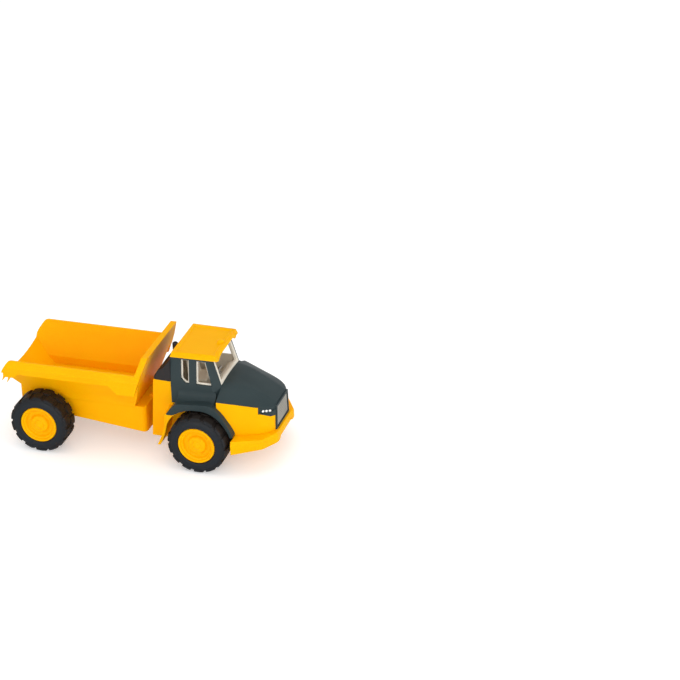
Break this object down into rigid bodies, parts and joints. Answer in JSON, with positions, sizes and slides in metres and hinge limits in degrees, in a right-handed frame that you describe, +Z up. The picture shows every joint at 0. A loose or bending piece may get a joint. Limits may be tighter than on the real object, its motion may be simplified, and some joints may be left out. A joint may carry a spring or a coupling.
{
  "type": "toy articulated dump truck",
  "caption": "Plastic toy dump truck with an open cab, a long hood, a tipping V-sided bed with a leaning headboard and chunky free-rolling wheels, hinged behind the cab.",
  "frame": {"origin": "on the floor under the middle of the truck's bounding box", "axes": "+X forward to the bumper, +Y to the truck's left, +Z up"},
  "size_m": [0.295, 0.125, 0.1258],
  "materials": {
    "yellow_plastic": "moulded, semi-gloss",
    "dark_plastic": "moulded, satin",
    "cream_plastic": "moulded, satin",
    "black_plastic": "moulded, matt",
    "grey_plastic": "moulded, satin",
    "tyre_black": "moulded, matt",
    "lamp_white": "moulded, glossy",
    "steel": "drawn rod"
  },
  "bodies": {
    "front": {"front_body": "yellow_plastic", "bumper": "yellow_plastic", "cab_shell": "dark_plastic", "cab_liner": "cream_plastic", "seat": "cream_plastic", "dashboard": "cream_plastic", "steering_wheel": "black_plastic", "roof": "yellow_plastic", "hood": "dark_plastic", "grille": "grey_plastic", "headlamps": "lamp_white", "fender_left": "dark_plastic", "fender_right": "dark_plastic", "rear_deck": "dark_plastic", "exhaust_stack": "black_plastic", "pivot_pin": "steel", "front_axle": "steel"},
    "rear": {"rear_frame": "yellow_plastic", "rear_axle": "steel", "hinge_pin": "steel"},
    "bed": {"dump_bed": "yellow_plastic"},
    "wheel_front_left": {"tyre_front_left": "tyre_black", "rim_front_left": "yellow_plastic"},
    "wheel_front_right": {"tyre_front_right": "tyre_black", "rim_front_right": "yellow_plastic"},
    "wheel_rear_left": {"tyre_rear_left": "tyre_black", "rim_rear_left": "yellow_plastic"},
    "wheel_rear_right": {"tyre_rear_right": "tyre_black", "rim_rear_right": "yellow_plastic"}
  },
  "joints": [
    {"name": "articulation", "type": "hinge", "parent": "front", "child": "rear", "pos_m": [0.0185, 0, 0.041], "axis": [0, 0, 1], "range_deg": [-10, 10]},
    {"name": "bed_tip", "type": "hinge", "parent": "rear", "child": "bed", "pos_m": [-0.1295, 0, 0.0465], "axis": [0, -1, 0], "range_deg": [0, 60]},
    {"name": "roll_front_left", "type": "hinge", "parent": "front", "child": "wheel_front_left", "pos_m": [0.0695, 0, 0.032], "axis": [0, 1, 0], "continuous": true},
    {"name": "roll_front_right", "type": "hinge", "parent": "front", "child": "wheel_front_right", "pos_m": [0.0695, 0, 0.032], "axis": [0, 1, 0], "continuous": true},
    {"name": "roll_rear_left", "type": "hinge", "parent": "rear", "child": "wheel_rear_left", "pos_m": [-0.1055, 0, 0.032], "axis": [0, 1, 0], "continuous": true},
    {"name": "roll_rear_right", "type": "hinge", "parent": "rear", "child": "wheel_rear_right", "pos_m": [-0.1055, 0, 0.032], "axis": [0, 1, 0], "continuous": true}
  ]
}
